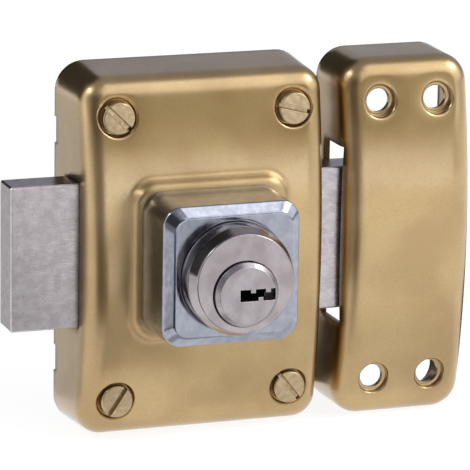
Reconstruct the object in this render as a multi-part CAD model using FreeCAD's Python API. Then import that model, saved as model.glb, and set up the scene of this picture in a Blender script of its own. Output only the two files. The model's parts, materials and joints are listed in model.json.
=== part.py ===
import FreeCAD, Part
import math
import os

# Double cylinder deadbolt: a surface-mounted lock for the room side of a door. A pressed steel case holds a
# flat steel bolt that passes right through it. A keyed cylinder on the room side and another through the
# door each turn a cam that throws the bolt, two turns for the full throw. A separate strike box of the same
# pressed steel stands on the frame. The bolt is at the middle of its throw.
#
# Millimetres. The origin is on the door's face, at the centre of the case. +X points along the bolt to the
# strike, -Y into the room and +Z up.

V = FreeCAD.Vector
UP = V(0, 0, 1)

# Pressed sheet of the case and the strike, whose walls lean in towards the domed front
SHEET = 1.5
CORNER_R = 9.0
NOSE_R = 6.6
CROWN_R = 230.0
CASE_W = 80.0
CASE_H = 114.0
CASE_D = 30.2
CASE_LEAN = 2.0
PAD_W = 49.0
PAD_RISE = 2.0
PAD_CORNER_R = 7.0
PAD_EDGE_R = 1.6
PAD_FOOT_R = 0.35
RIM_NOTCH_H = 8.0
RIM_NOTCH_IN = 21.0
PAD_ROOT = 2.0
LUG_INSET = 0.5

# Screws of the cover, with the dished holes that their heads sit in
DISH_R = 5.7
DISH_DEPTH = 2.6
DISH_LIP_R = 0.8
SCREW_IN_X = 12.0
SCREW_IN_Z = 13.0
SCREW_R = 3.0
SCREW_L = 16.0
HEAD_R = 5.0
HEAD_H = 3.9
HEAD_EDGE = 0.35
SLOT_W = 1.3
SLOT_DEPTH = 1.8
SLOT_TURNS = {(-1, 1): 44.0, (1, 1): 15.0, (-1, -1): -56.0, (1, -1): 52.0}

# Base plate and what stands on it
PLATE_T = 2.0
PILLAR_R = 5.0
RIVET_R = 3.4
DOOR_HOLE_DX = 14.0
DOOR_HOLE_IN = 21.0
DOOR_HOLE_R = 2.75

# Bolt
BOLT_L = 120.0
BOLT_H = 45.0
BOLT_T = 11.5
BOLT_Y = -15.2
BOLT_Z = 1.0
BOLT_EDGE = 0.5
BOLT_STEP = 17.5
NOTCH_DEPTH = 2.2
NOTCH_W = 6.4

# Cams, turning about the axis of both plugs, and the window of the bolt that they work in
CAM_R = 11.2
CAM_T = 4.0
CAM_HUB_R = 4.7
CAM_ROOT_W = 5.0
CAM_TIP_W = 2.6
CAM_EDGE_H = 7.0
GULLET_RUN = 0.45
WINDOW_RUN = 0.5

# Rails of the bolt
RAIL_END_GAP = 0.5
RAIL_TOP = 5.7
RAIL_LIP = 3.0
RAIL_LEDGE = 6.0
RAIL_FRONT_T = 2.0
RAIL_SCREW_IN = 7.0
RAIL_SCREW_R = 1.5
RAIL_SCREW_L = 12.0
RAIL_SCREW_HEAD_R = 3.0

# Detent spring
LEAF_T = 0.7
LEAF_W = 6.0
LEAF_ROOT_IN = 6.0
LEAF_SCREW_IN = 13.0
LEAF_TAIL_L = 2.0
LEAF_TAIL_RISE = 0.4
LEAF_NOSE_T = 0.9
LEAF_SCREW_R = 2.0
LEAF_SCREW_L = 5.4
LEAF_SCREW_HEAD_R = 3.4
LEAF_SCREW_HEAD_H = 1.9
LEAF_SCREW_SLOT_W = 0.8
LEAF_SCREW_SLOT_DEPTH = 0.8

# Square collar round the room-side cylinder
COLLAR_W = 43.0
COLLAR_H = 17.7
COLLAR_LEAN = 0.8
COLLAR_CORNER_R = 6.0
COLLAR_BEVEL_W = 3.0
COLLAR_BEVEL_H = 2.5
COLLAR_SCREW_D = 16.5
COLLAR_SCREW_R = 2.0
COLLAR_SCREW_L = 12.0
COLLAR_SCREW_HEAD_R = 3.5
COLLAR_SCREW_HEAD_H = 2.4

# Cylinders: the barrels and, below their centre, the plugs
BARREL_R = 16.7
BARREL_PROUD = 10.4
BARREL_EDGE = 1.8
SPIGOT_R = 13.0
SPIGOT_PAST = 4.0
NUT_R = 18.0
NUT_T = 3.4
NUT_SLOTS = 4
NUT_SLOT_W = 4.0
NUT_SLOT_DEPTH = 2.0
OUTER_BARREL_R = 15.0
DOOR_T = 40.0
ROSE_R = 23.0
ROSE_FACE_R = 19.5
ROSE_T = 6.0
ROSE_RIM_T = 1.5
OUTER_HEAD_T = 6.0
FIX_SCREW_DX = 11.0
FIX_SCREW_Z = 4.6
FIX_SCREW_R = 2.0
FIX_SCREW_L = 14.0
FIX_SCREW_HEAD_R = 3.4
FIX_SCREW_HEAD_H = 2.6
PLUG_DROP = 3.0
PLUG_R = 7.5
PLUG_HEAD_R = 9.8
PLUG_HEAD_T = 6.0
PLUG_PROUD = 2.2
PLUG_EDGE = 1.25
PLUG_NECK_R = 4.5
TAIL_W = 5.0
TAIL_GROOVE_R = 2.95
PLUG_END_T = 0.4
TAIL_GAP = 0.5
CLIP_T = 0.8
CLIP_R = 9.3
CLIP_GROOVE_R = 6.6
CLIP_MOUTH = 8.0
SMALL_CLIP_T = 0.6
SMALL_CLIP_R = 4.4
SMALL_CLIP_MOUTH = 3.0

# Keyway, a flat slot to one side of the plug, and the pin stacks above it
KEYWAY_LEFT = 2.4
KEYWAY_RIGHT = 8.8
KEYWAY_H = 3.6
KEYWAY_DEPTH = 34.0
WARD_W = 1.5
WARD_H = 1.1
WARD_UPPER_X = (0.9, 5.6)
WARD_LOWER_X = (3.3,)
PIN_COUNT = 5
PIN_PITCH = 4.0
PIN_FIRST = 12.5
PIN_R = 1.45
DRIVER_L = 4.0
STACK_PLUG_L = 2.0
PIN_TIP = 0.8
PIN_TIP_R = 0.65
PIN_LIFT = 0.6
SPRING_WIRE = 0.4

# Strike
STRIKE_GAP = 5.0
STRIKE_W = 42.6
STRIKE_D = 29.0
STRIKE_LEAN = 0.4
STRIKE_WINDOW_H = 56.0
STRIKE_WINDOW_RAISE = 1.0
STRIKE_WINDOW_PAST = 2.0
STRIKE_HOLE_IN = 11.9
STRIKE_HOLE_R = 3.7
STRIKE_DISH_R = 4.8

# Clearances
SLIP = 0.1
BOLT_RUN = 0.3
SLOT_RUN = 0.5
TURN = 0.05
CAM_RUN = 0.25
NOTCH_RUN = 0.3
LOOSE = 0.3
BORE_PAST = 1.0

# How far a cut is made past the metal, and how near a point counts as on a surface
OVER = 1.0
NEAR = 0.01

# Worked out from the above
PAD_Y = -(CASE_D + PAD_RISE)
COVER_INSIDE_Y = PAD_Y + SHEET
BOLT_FRONT = BOLT_Y - BOLT_T / 2
BOLT_BACK = BOLT_Y + BOLT_T / 2
BOLT_TOP = BOLT_Z + BOLT_H / 2
BOLT_BOTTOM = BOLT_Z - BOLT_H / 2
AXIS_Z = -PLUG_DROP
COLLAR_Y = PAD_Y - COLLAR_H - COLLAR_BEVEL_H
BARREL_Y = COLLAR_Y - BARREL_PROUD
SPIGOT_Y = COVER_INSIDE_Y + SPIGOT_PAST
OUTER_FACE_Y = DOOR_T + ROSE_T + OUTER_HEAD_T
STRIKE_X = CASE_W / 2 + STRIKE_GAP
STRIKE_MID_X = STRIKE_X + STRIKE_W / 2
STRIKE_HOLE_DX = STRIKE_W / 2 - STRIKE_HOLE_IN
WINDOW_HALF = BOLT_STEP + CAM_HUB_R + CAM_RUN
SCREW_DX = CASE_W / 2 - SCREW_IN_X
SCREW_DZ = CASE_H / 2 - SCREW_IN_Z
DOOR_HOLE_DZ = CASE_H / 2 - DOOR_HOLE_IN
RIM_NOTCH_Z = CASE_H / 2 - RIM_NOTCH_IN
RAIL_END = CASE_W / 2 - SHEET - CASE_LEAN - RAIL_END_GAP
LEAF_ROOT_X = LEAF_ROOT_IN - RAIL_END
LEAF_SCREW_X = LEAF_SCREW_IN - RAIL_END
LEAF_SEAT_Z = BOLT_TOP + BOLT_RUN + RAIL_TOP
LEAF_TIP_Z = BOLT_TOP - NOTCH_DEPTH + NOTCH_RUN
LEAF_SLOPE = 2 * NOTCH_DEPTH / NOTCH_W
LEAF_RISE_X = (LEAF_SEAT_Z - LEAF_TIP_Z) / LEAF_SLOPE


def outline(width, height, corner, y, x=0.0, z=0.0):
    """A rounded rectangle in the plane Y = y."""
    across = width / 2 - corner
    up = height / 2 - corner
    edges = []
    last = None
    first = None
    for turn, (sx, sz) in enumerate(((1, 1), (-1, 1), (-1, -1), (1, -1))):
        centre = V(x + sx * across, y, z + sz * up)
        points = []
        for part in (0, 45, 90):
            angle = math.radians(90 * turn + part)
            points.append(centre + V(math.cos(angle), 0, math.sin(angle)) * corner)
        if last:
            edges.append(Part.LineSegment(last, points[0]).toShape())
        edges.append(Part.Arc(*points).toShape())
        first = first or points[0]
        last = points[2]
    edges.append(Part.LineSegment(last, first).toShape())
    return Part.Wire(edges)


def slab(width, height, corner, y0, y1, x=0.0, z=0.0):
    """A rounded plate between two planes across Y."""
    return Part.Face(outline(width, height, corner, y0, x, z)).extrude(V(0, y1 - y0, 0))


def box(x0, x1, y0, y1, z0, z1):
    return Part.makeBox(x1 - x0, y1 - y0, z1 - z0, V(x0, y0, z0))


def rod(radius, y0, y1, x=0.0, z=0.0):
    """A round bar along Y."""
    low, high = min(y0, y1), max(y0, y1)
    return Part.makeCylinder(radius, high - low, V(x, low, z), V(0, 1, 0))


def tube(outer, inner, y0, y1, x=0.0, z=0.0):
    return rod(outer, y0, y1, x, z).cut(rod(inner, y0, y1, x, z))


def upright(radius, z0, z1, x, y):
    """A round bar along Z."""
    return Part.makeCylinder(radius, z1 - z0, V(x, y, z0), UP)


def cone(radius0, radius1, y0, y1, x=0.0, z=0.0):
    """A cone along Y, radius0 wide at y0."""
    low, high = (y0, y1) if y0 < y1 else (y1, y0)
    r_low, r_high = (radius0, radius1) if y0 < y1 else (radius1, radius0)
    return Part.makeCone(r_low, r_high, high - low, V(x, low, z), V(0, 1, 0))


def merged(shapes):
    """One shape from several that touch, with no lines left where flat faces join."""
    whole = shapes[0]
    for shape in shapes[1:]:
        whole = whole.fuse(shape)
    return whole.removeSplitter()


def cut_all(shape, tools):
    for tool in tools:
        shape = shape.cut(tool)
    return shape


def rounded(shape, radius, wanted):
    """The shape with a fillet on each edge that wanted() picks."""
    edges = [edge for edge in shape.Edges if wanted(edge)]
    return shape.makeFillet(radius, edges)


def samples(edge):
    first, last = edge.ParameterRange
    return [edge.valueAt(first + (last - first) * part) for part in (0.0, 0.27, 0.5, 0.81, 1.0)]


def at_y(edge, y):
    return all(abs(p.y - y) < NEAR for p in samples(edge))


class Shell:
    """A pressed shell, open behind, with leaning walls, a domed front and dished screw holes."""

    def __init__(self, width, depth, lean, x, hole_dx, dish_r):
        self.width = width
        self.depth = depth
        self.lean = lean
        self.x = x
        self.dish_r = dish_r
        self.places = [(x + sx * hole_dx, sz * SCREW_DZ) for sx in (-1, 1) for sz in (-1, 1)]
        self.dish_floor = DISH_DEPTH - self.front(SCREW_DZ)

    def front(self, z, inset=0.0):
        """How far the domed front, or the surface behind it by inset, stands from the door at height z."""
        crown = CROWN_R - inset
        return self.depth - inset - crown + math.sqrt(crown**2 - z**2)

    def section(self, y, inset):
        """The outline of the walls in the plane Y = y, or the one inside it by inset."""
        inward = inset - self.lean * y / self.depth
        return outline(self.width - 2 * inward, CASE_H - 2 * inward, CORNER_R - inward, y, self.x)

    def on_front(self, edge, inset=0.0):
        return all(abs(-p.y - self.front(p.z, inset)) < NEAR for p in samples(edge))

    def block(self, inset, back):
        """A solid of the outer form, or of the space inside it where inset is the sheet."""
        sections = [self.section(back, inset), self.section(-self.depth - OVER, inset)]
        walls = Part.makeLoft(sections, True, True)
        high = CASE_H / 2
        start = self.x - self.width
        top = V(start, -self.front(high, inset), high)
        middle = V(start, -self.front(0, inset), 0)
        bottom = V(start, -self.front(high, inset), -high)
        behind = [V(start, back, -high - OVER), V(start, back, high + OVER)]
        side = Part.Wire([
            Part.Arc(top, middle, bottom).toShape(),
            Part.LineSegment(bottom, behind[0]).toShape(),
            Part.LineSegment(behind[0], behind[1]).toShape(),
            Part.LineSegment(behind[1], top).toShape(),
        ])
        domed = Part.Face(side).extrude(V(2 * self.width, 0, 0))
        return rounded(walls.common(domed), NOSE_R - inset, lambda edge: self.on_front(edge, inset))

    def with_dishes(self, block):
        """The block with its dishes pressed in and their mouths rolled over."""
        face = -self.depth - OVER
        block = cut_all(block, [rod(self.dish_r, face, self.dish_floor, x, z) for x, z in self.places])

        def mouth(edge):
            points = samples(edge)
            if abs(points[0].y - self.dish_floor) < NEAR or abs(points[-1].y - self.dish_floor) < NEAR:
                return False
            reach = [[math.hypot(p.x - x, p.z - z) for p in points] for x, z in self.places]
            return any(all(abs(r - self.dish_r) < NEAR for r in around) for around in reach)

        return rounded(block, DISH_LIP_R, mouth)

    def inside(self):
        """The space in the shell, with the cups of the dishes left standing in it."""
        face = -self.depth - OVER
        floor = self.dish_floor + SHEET
        cups = [rod(self.dish_r + SHEET, face, floor, x, z) for x, z in self.places]
        return cut_all(self.block(SHEET, OVER), cups)


CASE = Shell(CASE_W, CASE_D, CASE_LEAN, 0.0, SCREW_DX, DISH_R)
STRIKE = Shell(STRIKE_W, STRIKE_D, STRIKE_LEAN, STRIKE_MID_X, STRIKE_HOLE_DX, STRIKE_DISH_R)
HEAD_Y = CASE.dish_floor - HEAD_H
PILLAR_END_Y = CASE.dish_floor + SHEET


def pad_block(inset, y_from):
    return slab(
        PAD_W - 2 * inset, PAD_W - 2 * inset, PAD_CORNER_R - inset, y_from, PAD_Y + inset
    )


def side_slots(x0, x1):
    """The slot for the bolt between two planes across X."""
    return box(
        x0, x1, BOLT_FRONT - SLOT_RUN, BOLT_BACK + SLOT_RUN, BOLT_BOTTOM - SLOT_RUN, BOLT_TOP + SLOT_RUN
    )


def case_cover():
    """Pressed cover: raised pad, dished screw holes, a bolt slot in each side and notches for the plate."""
    block = merged([CASE.block(0.0, 0.0), pad_block(0.0, -CASE_D + PAD_ROOT)])
    block = rounded(block, PAD_EDGE_R, lambda edge: at_y(edge, PAD_Y))

    def foot(edge):
        return CASE.on_front(edge) and all(max(abs(p.x), abs(p.z)) < PAD_W / 2 + NEAR for p in samples(edge))

    block = rounded(block, PAD_FOOT_R, foot)
    inside = merged([CASE.inside(), pad_block(SHEET, -CASE_D + SHEET + PAD_ROOT)])
    cover = CASE.with_dishes(block).cut(inside)
    tools = [side_slots(-CASE_W, CASE_W)]
    tools += [rod(SCREW_R + LOOSE, -CASE_D, 0, x, z) for x, z in CASE.places]
    front, back = PAD_Y - OVER, COVER_INSIDE_Y + OVER
    tools += [rod(SPIGOT_R + SLIP, front, back)]
    tools += [rod(COLLAR_SCREW_R + SLIP, front, back, x, z) for x, z in collar_screw_places()]
    half = RIM_NOTCH_H / 2 + SLIP
    for z in (-RIM_NOTCH_Z, RIM_NOTCH_Z):
        tools.append(box(-CASE_W, CASE_W, -PLATE_T - SLIP, OVER, z - half, z + half))
    return cut_all(cover, tools)


def turned_slot(x, z, angle, y_top, width, depth, length):
    """A screwdriver slot cut across a head whose face is at y_top, turned clockwise by angle degrees."""
    slot = box(x - length, x + length, y_top - OVER, y_top + depth, z - width / 2, z + width / 2)
    slot.rotate(V(x, 0, z), V(0, 1, 0), angle)
    return slot


def cover_screws():
    """Four cheese-head screws, each left at its own angle."""
    seat = CASE.dish_floor
    screws = []
    for (sx, sz), angle in SLOT_TURNS.items():
        x, z = sx * SCREW_DX, sz * SCREW_DZ
        head = rod(HEAD_R, HEAD_Y, seat, x, z)
        head = head.makeChamfer(HEAD_EDGE, [edge for edge in head.Edges if at_y(edge, HEAD_Y)])
        screw = merged([head, rod(SCREW_R, seat, seat + SCREW_L, x, z)])
        screws.append(screw.cut(turned_slot(x, z, angle, HEAD_Y, SLOT_W, SLOT_DEPTH, HEAD_R + OVER)))
    return Part.makeCompound(screws)


def cover_pillars():
    """Four tapped pillars, riveted into the base plate."""
    pillars = []
    for x, z in CASE.places:
        pillar = merged([rod(PILLAR_R, -PLATE_T, PILLAR_END_Y, x, z), rod(RIVET_R, 0, -PLATE_T, x, z)])
        bore_end = CASE.dish_floor + SCREW_L + BORE_PAST
        pillars.append(pillar.cut(rod(SCREW_R + TURN, PILLAR_END_Y - OVER, bore_end, x, z)))
    return Part.makeCompound(pillars)


def rail_screw_places():
    above = BOLT_TOP + BOLT_RUN + RAIL_TOP / 2
    below = BOLT_BOTTOM - BOLT_RUN - RAIL_TOP / 2
    reach = RAIL_END - RAIL_SCREW_IN
    return [(sx * reach, z) for sx in (-1, 1) for z in (above, below)]


def rail_screw_shape(x, z, extra):
    """A countersunk screw from the door side, or the space for one when extra is more than nothing."""
    depth = RAIL_SCREW_HEAD_R - RAIL_SCREW_R
    head = cone(RAIL_SCREW_HEAD_R + extra, RAIL_SCREW_R + extra, 0, -depth, x, z)
    return merged([head, rod(RAIL_SCREW_R + extra, -depth, -RAIL_SCREW_L - extra, x, z)])


def base_plate():
    """Steel plate behind the cover, with lugs in the cover's notches and the holes of its screws."""
    plate = Part.Face(CASE.section(-PLATE_T, SHEET + SLIP)).extrude(V(0, PLATE_T, 0))
    lugs = []
    half = RIM_NOTCH_H / 2
    reach = CASE_W / 2 - LUG_INSET
    for z in (-RIM_NOTCH_Z, RIM_NOTCH_Z):
        lugs.append(box(-reach, reach, -PLATE_T, 0, z - half, z + half))
    plate = merged([plate] + lugs)
    back, front = OVER, -PLATE_T - OVER
    tools = [rod(RIVET_R, back, front, x, z) for x, z in CASE.places]
    tools += [rod(PLUG_R + LOOSE, back, front, 0, AXIS_Z)]
    for sx in (-1, 1):
        tools.append(rod(FIX_SCREW_R + SLIP, back, front, sx * FIX_SCREW_DX, FIX_SCREW_Z))
        for sz in (-1, 1):
            tools.append(rod(DOOR_HOLE_R, back, front, sx * DOOR_HOLE_DX, sz * DOOR_HOLE_DZ))
    tools += [rail_screw_shape(x, z, 0.0) for x, z in rail_screw_places()]
    return cut_all(plate, tools)


def rail(up):
    """A channel that the bolt's edge slides in: up is 1 for the upper rail and -1 for the lower."""
    edge = BOLT_TOP if up > 0 else BOLT_BOTTOM
    track = edge + up * BOLT_RUN
    back = BOLT_BACK + BOLT_RUN
    front = BOLT_FRONT - BOLT_RUN
    nose = front - RAIL_FRONT_T
    section = [
        (-PLATE_T, edge - up * RAIL_LEDGE),
        (back, edge - up * RAIL_LEDGE),
        (back, track),
        (front, track),
        (front, edge - up * RAIL_LIP),
        (nose, edge - up * RAIL_LIP),
        (nose, track + up * RAIL_TOP),
        (-PLATE_T, track + up * RAIL_TOP),
    ]
    points = [V(-RAIL_END, y, z) for y, z in section]
    channel = Part.Face(Part.makePolygon(points + [points[0]])).extrude(V(2 * RAIL_END, 0, 0))
    tools = [rail_screw_shape(x, z, 0.0) for x, z in rail_screw_places() if z * up > 0]
    if up > 0:
        half = LEAF_W / 2 + BOLT_RUN
        top = track + RAIL_TOP
        bore_end = top + LEAF_T - LEAF_SCREW_L - SLIP
        mouth = LEAF_RISE_X + NOTCH_RUN
        tools.append(box(-mouth, mouth, BOLT_Y - half, BOLT_Y + half, edge - OVER, top + OVER))
        tools.append(upright(LEAF_SCREW_R, bore_end, top + OVER, LEAF_SCREW_X, BOLT_Y))
    return cut_all(channel, tools)


def rail_screws():
    return Part.makeCompound([rail_screw_shape(x, z, 0.0) for x, z in rail_screw_places()])


def gullet(x):
    """The round hollow that a cam's tooth sweeps in the upper edge of the bolt's window."""
    crest = CAM_R + GULLET_RUN
    mouth = math.sqrt(CAM_R**2 - CAM_EDGE_H**2) - BOLT_STEP / 2 / math.pi * math.acos(CAM_EDGE_H / CAM_R)
    mouth += CAM_TIP_W / 2 + GULLET_RUN
    centre = (crest**2 - CAM_EDGE_H**2 - mouth**2) / (2 * (crest - CAM_EDGE_H))
    return rod(crest - centre, BOLT_FRONT - OVER, BOLT_BACK + OVER, x, AXIS_Z + centre)


def bolt_window():
    """The opening for the cams: flat below, and with a gullet for each turn above."""
    low = AXIS_Z - CAM_R - WINDOW_RUN
    opening = box(-WINDOW_HALF, WINDOW_HALF, BOLT_FRONT - OVER, BOLT_BACK + OVER, low, AXIS_Z + CAM_EDGE_H)
    return merged([opening, gullet(-BOLT_STEP / 2), gullet(BOLT_STEP / 2)])


def detent_notch(x):
    """A V in the bolt's upper edge, wider at the mouth."""
    half = NOTCH_W / 2 * (NOTCH_DEPTH + OVER) / NOTCH_DEPTH
    points = [
        V(x - half, BOLT_FRONT - OVER, BOLT_TOP + OVER),
        V(x + half, BOLT_FRONT - OVER, BOLT_TOP + OVER),
        V(x, BOLT_FRONT - OVER, BOLT_TOP - NOTCH_DEPTH),
    ]
    return Part.Face(Part.makePolygon(points + [points[0]])).extrude(V(0, BOLT_T + 2 * OVER, 0))


def bolt():
    """Flat bar with a window for the cams and three notches for the detent spring."""
    half = BOLT_L / 2
    bar = box(-half, half, BOLT_FRONT, BOLT_BACK, BOLT_BOTTOM, BOLT_TOP)
    bar = bar.makeChamfer(BOLT_EDGE, bar.Edges)
    notches = [detent_notch(step * BOLT_STEP) for step in (-1, 0, 1)]
    return cut_all(bar, [bolt_window()] + notches)


def detent_spring():
    """A bent leaf: flat on the rail, then a V whose nose sits in the bolt's middle notch."""
    seat = LEAF_SEAT_Z
    tail = LEAF_RISE_X + LEAF_TAIL_L
    points = [
        (LEAF_ROOT_X, seat),
        (-LEAF_RISE_X, seat),
        (0.0, LEAF_TIP_Z),
        (LEAF_RISE_X, seat),
        (tail, seat + LEAF_TAIL_RISE),
    ]
    top = [(x, z + (LEAF_T if z >= seat else LEAF_NOSE_T)) for x, z in reversed(points)]
    section = [V(x, BOLT_Y - LEAF_W / 2, z) for x, z in points + top]
    leaf = Part.Face(Part.makePolygon(section + [section[0]])).extrude(V(0, LEAF_W, 0))
    return leaf.cut(upright(LEAF_SCREW_R + TURN, seat - OVER, seat + LEAF_T + OVER, LEAF_SCREW_X, BOLT_Y))


def spring_screw():
    seat = LEAF_SEAT_Z + LEAF_T
    head = upright(LEAF_SCREW_HEAD_R, seat, seat + LEAF_SCREW_HEAD_H, LEAF_SCREW_X, BOLT_Y)
    screw = merged([head, upright(LEAF_SCREW_R, seat - LEAF_SCREW_L, seat, LEAF_SCREW_X, BOLT_Y)])
    top = seat + LEAF_SCREW_HEAD_H
    reach = LEAF_SCREW_HEAD_R + OVER
    half = LEAF_SCREW_SLOT_W / 2
    slot = box(
        LEAF_SCREW_X - reach, LEAF_SCREW_X + reach,
        BOLT_Y - half, BOLT_Y + half, top - LEAF_SCREW_SLOT_DEPTH, top + OVER,
    )
    return screw.cut(slot)


def collar_screw_places():
    return [(sx * COLLAR_SCREW_D, sz * COLLAR_SCREW_D) for sx in (-1, 1) for sz in (-1, 1)]


def cylinder_collar():
    """Square die-cast collar with leaning sides and a bevelled front, bored and tapped from behind."""
    shoulder = PAD_Y - COLLAR_H
    foot_w = COLLAR_W + 2 * COLLAR_LEAN
    body = Part.makeLoft(
        [
            outline(foot_w, foot_w, COLLAR_CORNER_R + COLLAR_LEAN, PAD_Y),
            outline(COLLAR_W, COLLAR_W, COLLAR_CORNER_R, shoulder),
        ],
        True,
        True,
    )
    face_w = COLLAR_W - 2 * COLLAR_BEVEL_W
    bevel = Part.makeLoft(
        [
            outline(COLLAR_W, COLLAR_W, COLLAR_CORNER_R, shoulder),
            outline(face_w, face_w, COLLAR_CORNER_R - COLLAR_BEVEL_W / 2, COLLAR_Y),
        ],
        True,
        True,
    )
    tools = [rod(BARREL_R + SLIP, PAD_Y + OVER, COLLAR_Y - OVER)]
    end = COVER_INSIDE_Y - COLLAR_SCREW_L - BORE_PAST
    tools += [rod(COLLAR_SCREW_R + TURN, PAD_Y + OVER, end, x, z) for x, z in collar_screw_places()]
    return cut_all(merged([body, bevel]), tools)


def collar_screws():
    """Four pan-head screws from inside the cover."""
    screws = []
    for x, z in collar_screw_places():
        head = rod(COLLAR_SCREW_HEAD_R, COVER_INSIDE_Y, COVER_INSIDE_Y + COLLAR_SCREW_HEAD_H, x, z)
        shank = rod(COLLAR_SCREW_R, COVER_INSIDE_Y - COLLAR_SCREW_L, COVER_INSIDE_Y, x, z)
        screws.append(merged([head, shank]))
    return Part.makeCompound(screws)


def pin_ys(face_y, inward):
    """Where the pin stacks stand along a cylinder whose face is at face_y."""
    return [face_y + inward * (PIN_FIRST + number * PIN_PITCH) for number in range(PIN_COUNT)]


def barrel_cuts(face_y, inward, back_y, radius):
    """The bores of a barrel: for the plug and its head, and a chamber for each pin stack."""
    tools = [
        rod(PLUG_R + TURN, face_y - inward, back_y + inward, 0, AXIS_Z),
        rod(PLUG_HEAD_R + TURN * 2, face_y - inward, plug_shoulder(face_y, inward), 0, AXIS_Z),
    ]
    for y in pin_ys(face_y, inward):
        tools.append(upright(PIN_R + TURN, AXIS_Z, radius + OVER, 0, y))
    return tools


def plug_shoulder(face_y, inward):
    """Where the counterbore for the plug's head ends."""
    return face_y + inward * (PLUG_HEAD_T - PLUG_PROUD + TURN)


def inner_cylinder_barrel():
    """Room-side barrel: a chamfered face ring, and a threaded spigot through the cover."""
    head = rod(BARREL_R, BARREL_Y, PAD_Y)
    head = head.makeChamfer(BARREL_EDGE, [edge for edge in head.Edges if at_y(edge, BARREL_Y)])
    barrel = merged([head, rod(SPIGOT_R, PAD_Y, SPIGOT_Y)])
    return cut_all(barrel, barrel_cuts(BARREL_Y, 1, SPIGOT_Y, BARREL_R))


def inner_ring_nut():
    """Round nut with spanner slots, on the spigot inside the cover."""
    nut = tube(NUT_R, SPIGOT_R, COVER_INSIDE_Y, COVER_INSIDE_Y + NUT_T)
    tools = []
    for number in range(NUT_SLOTS):
        slot = box(
            NUT_R - NUT_SLOT_DEPTH, NUT_R + OVER, COVER_INSIDE_Y - OVER, COVER_INSIDE_Y + NUT_T + OVER,
            -NUT_SLOT_W / 2, NUT_SLOT_W / 2,
        )
        slot.rotate(V(0, 0, 0), V(0, 1, 0), 360.0 / NUT_SLOTS * number)
        tools.append(slot)
    return cut_all(nut, tools)


def outer_cylinder_barrel():
    """Street-side barrel through the door, against the base plate, with a chamfered head over the rose."""
    head_back = OUTER_FACE_Y - OUTER_HEAD_T
    head = rod(BARREL_R, head_back, OUTER_FACE_Y)
    head = head.makeChamfer(BARREL_EDGE, [edge for edge in head.Edges if at_y(edge, OUTER_FACE_Y)])
    barrel = merged([rod(OUTER_BARREL_R, 0, head_back), head])
    tools = barrel_cuts(OUTER_FACE_Y, -1, 0, OUTER_BARREL_R)
    for x in (-FIX_SCREW_DX, FIX_SCREW_DX):
        tools.append(rod(FIX_SCREW_R + TURN, -OVER, FIX_SCREW_L - PLATE_T + BORE_PAST, x, FIX_SCREW_Z))
    return cut_all(barrel, tools)


def outer_rose():
    """Conical ring round the barrel on the street face of the door."""
    rose = cone(ROSE_R, ROSE_FACE_R, DOOR_T + ROSE_RIM_T, DOOR_T + ROSE_T)
    rose = merged([rod(ROSE_R, DOOR_T, DOOR_T + ROSE_RIM_T), rose])
    return rose.cut(rod(OUTER_BARREL_R + SLIP, DOOR_T - OVER, DOOR_T + ROSE_T + OVER))


def outer_fixing_screws():
    """Two pan-head screws that draw the street-side barrel against the base plate."""
    screws = []
    for x in (-FIX_SCREW_DX, FIX_SCREW_DX):
        head = rod(FIX_SCREW_HEAD_R, -PLATE_T, -PLATE_T - FIX_SCREW_HEAD_H, x, FIX_SCREW_Z)
        screws.append(merged([head, rod(FIX_SCREW_R, -PLATE_T, FIX_SCREW_L - PLATE_T, x, FIX_SCREW_Z)]))
    return Part.makeCompound(screws)


def keyway(face_y, inward):
    """The warded slot for a flat key, open at the plug's side."""
    depth = inward * KEYWAY_DEPTH
    y0, y1 = sorted((face_y - inward, face_y + depth))
    half = KEYWAY_H / 2
    slot = box(-KEYWAY_LEFT, KEYWAY_RIGHT, y0, y1, AXIS_Z - half, AXIS_Z + half)
    for x in WARD_UPPER_X:
        slot = slot.cut(box(x, x + WARD_W, y0, y1, AXIS_Z + half - WARD_H, AXIS_Z + half))
    for x in WARD_LOWER_X:
        slot = slot.cut(box(x, x + WARD_W, y0, y1, AXIS_Z - half, AXIS_Z - half + WARD_H))
    return slot


def plug(face_y, inward, clip_y, cam_face_y, tail_end_y):
    """A plug with its head, keyway, pin bores, clip groove, neck and square tail for the cam."""
    front = face_y - inward * PLUG_PROUD
    shoulder = front + inward * PLUG_HEAD_T
    head = rod(PLUG_HEAD_R, front, shoulder, 0, AXIS_Z)
    head = head.makeChamfer(PLUG_EDGE, [edge for edge in head.Edges if at_y(edge, front)])
    groove_end = clip_y + inward * CLIP_T
    body_end = groove_end + inward * PLUG_END_T
    pieces = [
        head,
        rod(PLUG_R, shoulder, clip_y, 0, AXIS_Z),
        rod(CLIP_GROOVE_R, clip_y, groove_end, 0, AXIS_Z),
        rod(PLUG_R, groove_end, body_end, 0, AXIS_Z),
        rod(PLUG_NECK_R, body_end, cam_face_y, 0, AXIS_Z),
    ]
    half = TAIL_W / 2
    y0, y1 = sorted((cam_face_y, tail_end_y))
    tail = box(-half, half, y0, y1, AXIS_Z - half, AXIS_Z + half)
    groove_y = cam_face_y + inward * CAM_T
    groove_back = groove_y + inward * SMALL_CLIP_T
    tail = tail.cut(tube(TAIL_W, TAIL_GROOVE_R, groove_y, groove_back, 0, AXIS_Z))
    tools = [keyway(front, inward)]
    for y in pin_ys(face_y, inward):
        tools.append(upright(PIN_R + TURN, AXIS_Z, AXIS_Z + PLUG_R + OVER, 0, y))
    return cut_all(merged(pieces + [tail]), tools)


def clip(outer, inner, mouth, y0, y1):
    """An open retaining ring on the axis of the plugs, its mouth upwards."""
    ring = tube(outer, inner, y0, y1, 0, AXIS_Z)
    low, high = min(y0, y1), max(y0, y1)
    return ring.cut(box(-mouth / 2, mouth / 2, low - OVER, high + OVER, AXIS_Z, AXIS_Z + outer + OVER))


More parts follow.
